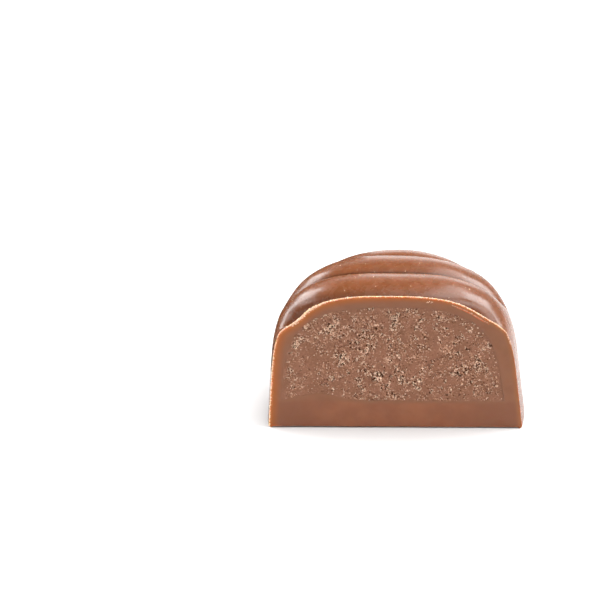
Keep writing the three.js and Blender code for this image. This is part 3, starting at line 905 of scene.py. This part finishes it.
def nut_paste():
    """Grey-brown paste with pale and dark grains, pale crumbs, and painted shade that darkens the pits,
    which have no gloss.
    """
    material, place = new_material("nut paste")
    paste = blend_colour(material, clouded(material, place, 1.6 * MM), PASTE_DARK, PASTE_PALE)
    seam_distance = read_attribute(material, "seam_distance")
    seam = between(material, seam_distance, 0.0, PASTE_SEAM_WIDTH, 1.0, 0.0)
    paste = blend_colour(material, seam, paste, SEAM_COLOUR)
    torn = read_attribute(material, "torn")
    grain = noise_of(material, place, 0.2 * MM, 2.0, 0.6)
    pale = math_node(material, "MULTIPLY", between(material, grain, 0.55, 0.62), torn)
    dark = math_node(material, "MULTIPLY", between(material, grain, 0.38, 0.45, 1.0, 0.0), torn)
    grained = blend_colour(material, pale, paste, PALE_GRAIN)
    grained = blend_colour(material, dark, grained, DARK_GRAIN)
    # Painted shade in the hollows, which also lose their gloss.
    pit = read_attribute(material, "pit")
    gloss = between(material, pit, 0.0, 0.5, 0.4, 0.0)
    pit_shaded = blend_colour(material, pit, grained, PAINTED_PIT_SHADE)
    colour = blend_colour(material, read_attribute(material, "crumb"), pit_shaded, CRUMB_COLOUR)
    roughness = clouded(material, place, 0.3 * MM, 0.5, 0.75)
    skin = bump_of(material, noise_of(material, place, 0.1 * MM, 4.0, 0.7), 0.02 * MM)
    bump = bump_of(material, noise_of(material, place, 0.45 * MM), 0.03 * MM, skin)
    return finish_material(
        material, colour, roughness, bump, Specular_IOR_Level=gloss, IOR=1.40,
        Subsurface_Weight=0.1, Subsurface_Radius=NUT_PASTE_GLOW, Subsurface_Scale=0.25 * MM)


filling_points, filling_faces, face_shows, face_points = filling_mesh()
filling = place_mesh("nut_filling", filling_points, filling_faces, [nut_paste()])
filling.data.shade_smooth()
filling.data.set_sharp_from_angle(angle=math.radians(60))
for value_name, values in face_shows.items():
    over_all = np.zeros(len(filling_points))
    over_all[:values.size] = values.ravel()
    store_on_points(filling, value_name, over_all)
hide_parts("praline_filling")
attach(filling, "root")

# ---------------------------------------------------------------- bits of broken nut
# Pale angular bits of roasted nut, a tenth to a quarter of a millimetre across. They stand in
# the torn face, most of them round the rims of the hollows that other bits have left.

NUT_BITS = 2100
SIZE_SPREAD = 0.35
BEHIND_CUT = 0.002 * MM  # how far every bit stays inside the plane of the cut


def bit_sizes(random, count, usual, least, most):
    """Half widths of bits, most of them near the usual one."""
    return np.clip(random.lognormal(math.log(usual), SIZE_SPREAD, count), least, most)


def broken_bits(places, sizes, random):
    """Points and faces of small angular bits, each with its own size and shape."""
    ball = bmesh.new()
    bmesh.ops.create_icosphere(ball, subdivisions=1, radius=1)
    ball_points = np.array([point.co[:] for point in ball.verts])
    ball_faces = np.array([[point.index for point in face.verts] for face in ball.faces])
    ball.free()
    points = []
    faces = []
    for number, (place, size) in enumerate(zip(places, sizes)):
        turn = np.array(Euler(random.uniform(0, 2 * math.pi, 3)).to_matrix())
        bit = ball_points * random.uniform(0.6, 1.2, (len(ball_points), 1)) * random.uniform(0.6, 1.3, 3)
        points.append(bit @ turn.T * size + place)
        faces.append(ball_faces + number * len(ball_points))
    return np.concatenate(points), np.concatenate(faces)


def shade_bits(piece, shades):
    """Stores each bit's shade on all of its points."""
    corners_each = len(piece.data.vertices) // len(shades)
    store_on_points(piece, "shade", np.repeat(shades, corners_each))


def nut_bits():
    """Piece of all the bits of nut in the cut face."""
    random = np.random.default_rng(7)
    pit, torn = face_shows["pit"], face_shows["torn"]
    reach = range(-3, 4)
    nearby = sum(np.roll(pit, (up, aside), (0, 1)) for up in reach for aside in reach) / len(reach) ** 2
    rim = np.clip(2.5 * nearby - 1.5 * pit, 0, 1)
    chance = (0.02 + 0.25 * torn ** 2 + 1.3 * rim) * clear_of_outline(pit.shape) * (1 - 0.9 * pit)
    chance = chance.ravel() / chance.sum()
    chosen = random.choice(chance.size, NUT_BITS, replace=False, p=chance)
    sizes = bit_sizes(random, NUT_BITS, 0.068 * MM, 0.04 * MM, 0.16 * MM)
    places = face_points.reshape(-1, 3)[chosen] + random.uniform(-0.03, 0.03, (NUT_BITS, 3)) * MM
    places[:, 1] = np.maximum(places[:, 1] - 0.3 * sizes, CUT_Y + 0.9 * sizes)
    points, faces = broken_bits(places, sizes, random)
    points[:, 1] = np.maximum(points[:, 1], CUT_Y + BEHIND_CUT)
    piece = place_mesh("nut_bits", points, faces, [roasted_nut()])
    shades = 0.36 + 0.7 * rim.ravel()[chosen] + random.normal(0, 0.3, NUT_BITS)
    shade_bits(piece, np.clip(shades, 0, 1))
    return piece


SMEARED_NUT = (0.30, 0.14, 0.08, 1)
CLEAN_NUT = (0.96, 0.70, 0.50, 1)


def roasted_nut():
    """Dull, from the brown of the paste that clings to a bit to the cream of clean nut."""
    material, place = new_material("roasted nut")
    smeared = blend_colour(material, read_attribute(material, "shade"), SMEARED_NUT, CLEAN_NUT)
    cloud = between(material, noise_of(material, place, 0.15 * MM), 0.35, 0.65, 0.0, 0.25)
    colour = blend_colour(material, cloud, smeared, SMEARED_NUT)
    roughness = clouded(material, place, 0.1 * MM, 0.5, 0.7, 3.0)
    bump = bump_of(material, noise_of(material, place, 0.05 * MM, 2.0), 0.01 * MM)
    return finish_material(material, colour, roughness, bump, IOR=1.46)


bits_of_nut = nut_bits()
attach(bits_of_nut, "root")

# ---------------------------------------------------------------- flakes on the broken edge
# The thin edge of the shell crumbles under the knife. Small flakes of chocolate cling to it,
# paler than the shell because they are crushed, and a second line of them runs inside the edge
# on the right, where the wall has split.

CROWN_FLAKES = 310
UPPER_LEFT_FLAKES = 155
UPPER_RIGHT_FLAKES = 155
SPLIT_FLAKES = 210
CHIP_FLAKES = 14
UPPER_EDGE = 12 * MM  # lowest height of the flakes that lie along the dome alone
LARGER_FLAKES = 1.3  # at the upper left, against the others
CHIPPED_FLAKES = 1.25  # and in the chip


def edge_flakes():
    """Piece of the flakes along the cut's outer edge, along the split beside it and in one chip."""
    random = np.random.default_rng(5)
    spacing = np.linalg.norm(np.diff(cut_edge, axis=0), axis=1)
    length = np.concatenate([[0], np.cumsum(spacing)])
    middle = np.array([0, CUT_Y, 8 * MM])

    def on_edge(count, x_low, x_high, z_low, inset, spread):
        found = []
        while len(found) < count:
            where = random.uniform(0, length[-1])
            place = np.array([np.interp(where, length, cut_edge[:, axis]) for axis in range(3)])
            if x_low <= place[0] <= x_high and place[2] >= z_low:
                inwards = (middle - place) / np.linalg.norm(middle - place)
                found.append(place + inwards * (inset + abs(random.normal(0, spread))))
        return np.array(found)

    # Each line of flakes: how many, from and to along X, how low, how far inside and how scattered.
    past_left = -20 * MM
    places = np.concatenate([
        on_edge(CROWN_FLAKES, past_left, 14.5 * MM, 1 * MM, 0.03 * MM, 0.03 * MM),
        on_edge(UPPER_LEFT_FLAKES, -12.8 * MM, -8 * MM, UPPER_EDGE, 0.03 * MM, 0.16 * MM),
        on_edge(UPPER_RIGHT_FLAKES, 3 * MM, 15 * MM, UPPER_EDGE, 0.03 * MM, 0.04 * MM),
        on_edge(SPLIT_FLAKES, SPLIT_FROM, SPLIT_TO, UPPER_EDGE, 0.46 * MM, 0.06 * MM),
        on_edge(CHIP_FLAKES, 4.6 * MM, 5.4 * MM, UPPER_EDGE, 0.5 * MM, 0.15 * MM),
    ])
    sizes = bit_sizes(random, len(places), 0.06 * MM, 0.03 * MM, 0.13 * MM)
    sizes[CROWN_FLAKES:CROWN_FLAKES + UPPER_LEFT_FLAKES] *= LARGER_FLAKES
    sizes[-CHIP_FLAKES:] *= CHIPPED_FLAKES
    places[:, 1] = CUT_Y + 0.05 * MM + random.uniform(0, 0.04, len(places)) * MM
    points, faces = broken_bits(places, sizes, random)
    points[:, 1] = np.maximum(points[:, 1], CUT_Y + BEHIND_CUT)
    piece = place_mesh("edge_flakes", points, faces, [crushed_chocolate()])
    shades = random.uniform(0.55, 1, len(places))
    shades[-CHIP_FLAKES - SPLIT_FLAKES:-CHIP_FLAKES] = random.uniform(0, 0.4, SPLIT_FLAKES)
    shade_bits(piece, shades)
    return piece


THIN_FLAKE = (0.40, 0.12, 0.045, 1)
PALE_FLAKE = (0.94, 0.68, 0.48, 1)
FLAKE_CLOUD = (0.42, 0.18, 0.09, 1)


def crushed_chocolate():
    """Crushed chocolate, from orange-red where it is thin to a pale cream."""
    material, place = new_material("crushed chocolate")
    tint = blend_colour(material, read_attribute(material, "shade"), THIN_FLAKE, PALE_FLAKE)
    cloud = between(material, noise_of(material, place, 0.2 * MM), 0.45, 0.75, 0.0, 0.3)
    colour = blend_colour(material, cloud, tint, FLAKE_CLOUD)
    roughness = clouded(material, place, 0.1 * MM, 0.35, 0.6, 3.0)
    bump = bump_of(material, noise_of(material, place, 0.05 * MM, 2.0), 0.008 * MM)
    return finish_material(material, colour, roughness, bump, IOR=1.47)


flakes = edge_flakes()
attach(flakes, "root")

# ---------------------------------------------------------------- dust on the ridges
# Specks of crushed chocolate that the knife has scattered. A few lie on the polished ridges
# behind the cut, each stuck to the skin of the shell.

DUST_SPECKS = 46


def ridge_dust():
    """Piece of the specks, each sunk halfway into the outside of the shell."""
    random = np.random.default_rng(12)
    rows = random.integers(STRIP_ROWS + 4, STRIP_ROWS + 2 * RIDGE_ROWS, DUST_SPECKS)
    across = random.normal(0.52, 0.14, DUST_SPECKS).clip(0.22, 0.82)
    places = shell_points[rows * COLUMNS + (across * COLUMNS).astype(int)]
    sizes = bit_sizes(random, DUST_SPECKS, 0.045 * MM, 0.025 * MM, 0.085 * MM)
    points, faces = broken_bits(places, sizes, random)
    piece = place_mesh("ridge_dust", points, faces, [crushed_chocolate()])
    shade_bits(piece, random.uniform(0.85, 1, DUST_SPECKS))
    return piece


dust = ridge_dust()
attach(dust, "root")

# ---------------------------------------------------------------- the studio
# A white table under soft lights, with black cards that keep parts of the gloss dark, and a
# long lens that looks down from in front.

TABLE_HALF_SIZE = 2
# The paler white near the praline is painted light that lifts its shadow on the table.
TABLE_PAINTED_LIGHT_NEAR = (0.61, 0.61, 0.61, 1)
TABLE_FAR = (0.46, 0.46, 0.46, 1)


def white_table():
    """Matt white, paler round the praline as painted light that lifts the praline's shadow off the table.
    """
    material, place = new_material("white table")
    distance = add_node(material, "ShaderNodeVectorMath", Vector=place)
    distance.operation = "LENGTH"
    outwards = between(material, distance.outputs["Value"], 20 * MM, 60 * MM)
    return finish_material(material, blend_colour(material, outwards, TABLE_PAINTED_LIGHT_NEAR, TABLE_FAR), 0.8)


def rectangle(half_across, half_up):
    """Corners of a rectangle about its middle."""
    return [(-half_across, -half_up, 0), (half_across, -half_up, 0),
            (half_across, half_up, 0), (-half_across, half_up, 0)]


table = place_mesh("table", rectangle(TABLE_HALF_SIZE, TABLE_HALF_SIZE), [(0, 1, 2, 3)], [white_table()])

world = bpy.data.worlds.new("studio air")
world.use_nodes = True
world.node_tree.nodes["Background"].inputs["Color"].default_value = (1, 1, 1, 1)
world.node_tree.nodes["Background"].inputs["Strength"].default_value = 0.6
bpy.context.scene.world = world

LIGHT_DISTANCE = 0.5
CARD_DISTANCE = 0.6


def direction(azimuth, elevation):
    """From the praline towards a place round it: azimuth 0 is behind it, 90 on its right."""
    around = math.radians(azimuth)
    above = math.radians(elevation)
    return Vector((math.sin(around) * math.cos(above), math.cos(around) * math.cos(above), math.sin(above)))


def half_span(distance, angle):
    """Half the width that covers an angle in degrees at a distance."""
    return distance * math.tan(math.radians(angle / 2))


def soft_box(name, azimuth, elevation, width, height, brightness, lights_up=True):
    """A rectangular light that faces the praline, with its angles seen from there."""
    light = bpy.data.lights.new(name, "AREA")
    light.shape = "RECTANGLE"
    light.size = 2 * half_span(LIGHT_DISTANCE, width)
    light.size_y = 2 * half_span(LIGHT_DISTANCE, height)
    light.energy = brightness * math.pi * light.size * light.size_y
    towards = direction(azimuth, elevation)
    lamp = bpy.data.objects.new(name, light)
    lamp.location = Vector((0, 0, 10 * MM)) + towards * LIGHT_DISTANCE
    lamp.rotation_euler = towards.to_track_quat("Z", "Y").to_euler()
    lamp.visible_camera = False
    lamp.visible_diffuse = lights_up
    bpy.context.scene.collection.objects.link(lamp)


def black_card():
    """Matt black, so that it takes light away."""
    material, _ = new_material("black card")
    return finish_material(material, (0.01, 0.01, 0.01, 1), 0.9)


black = black_card()


def dark_flag(name, azimuth, elevation, width, height):
    """A black card that keeps the gloss dark on its side."""
    corners = rectangle(half_span(CARD_DISTANCE, width), half_span(CARD_DISTANCE, height))
    card = place_mesh(name, corners, [(0, 1, 2, 3)], [black])
    towards = direction(azimuth, elevation)
    card.location = towards * CARD_DISTANCE
    card.rotation_euler = towards.to_track_quat("Z", "Y").to_euler()
    card.visible_camera = False


def low_flag():
    """A card behind the left side, one half lying and one standing, that shows in the gloss alone."""
    corners = [(-48, 4, 0.2), (-17.2, 4, 0.2), (-8, 44, 0.2), (-48, 8, 0.2), (-8, 44, 30), (-48, 8, 30)]
    points = [Vector(corner) * MM for corner in corners]
    card = place_mesh("low left flag", points, [(0, 1, 2, 3), (3, 2, 4, 5)], [black])
    card.visible_camera = False
    card.visible_diffuse = False
    card.visible_shadow = False


soft_box("left soft box", -66, 29, 48, 36, 10.0)
soft_box("right soft box", 85, 45, 46, 30, 12.0)
soft_box("upper right soft box", 96, 72, 90, 22, 4.8)
soft_box("front left glow", -112, 26, 26, 16, 5.0, lights_up=False)
soft_box("front right glow", 142, 27, 46, 20, 5.0, lights_up=False)
soft_box("white backdrop", -10, 8, 60, 20, 1.6)
dark_flag("upper left flag", -75, 68, 100, 34)
dark_flag("left flag", -118, 2, 36, 24)
low_flag()

CAMERA_PLACE = Vector((14.04, -274.79, 164.07)) * MM
CAMERA_AIM = Vector((-15.35, 25.20, 0)) * MM
CAMERA_ROLL = math.radians(-2.7249)
FOCAL_LENGTH = 148.74
SENSOR_WIDTH = 36

lens = bpy.data.cameras.new("camera")
lens.lens = FOCAL_LENGTH
lens.sensor_width = SENSOR_WIDTH
lens.clip_start = 0.01
camera = bpy.data.objects.new("camera", lens)
bpy.context.scene.collection.objects.link(camera)
looking = (CAMERA_AIM - CAMERA_PLACE).to_track_quat("-Z", "Y").to_matrix().to_4x4()
camera.matrix_world = Matrix.Translation(CAMERA_PLACE) @ looking @ Matrix.Rotation(CAMERA_ROLL, 4, "Z")
bpy.context.scene.camera = camera
bpy.context.scene.view_settings.view_transform = "Standard"

bpy.context.view_layer.update()
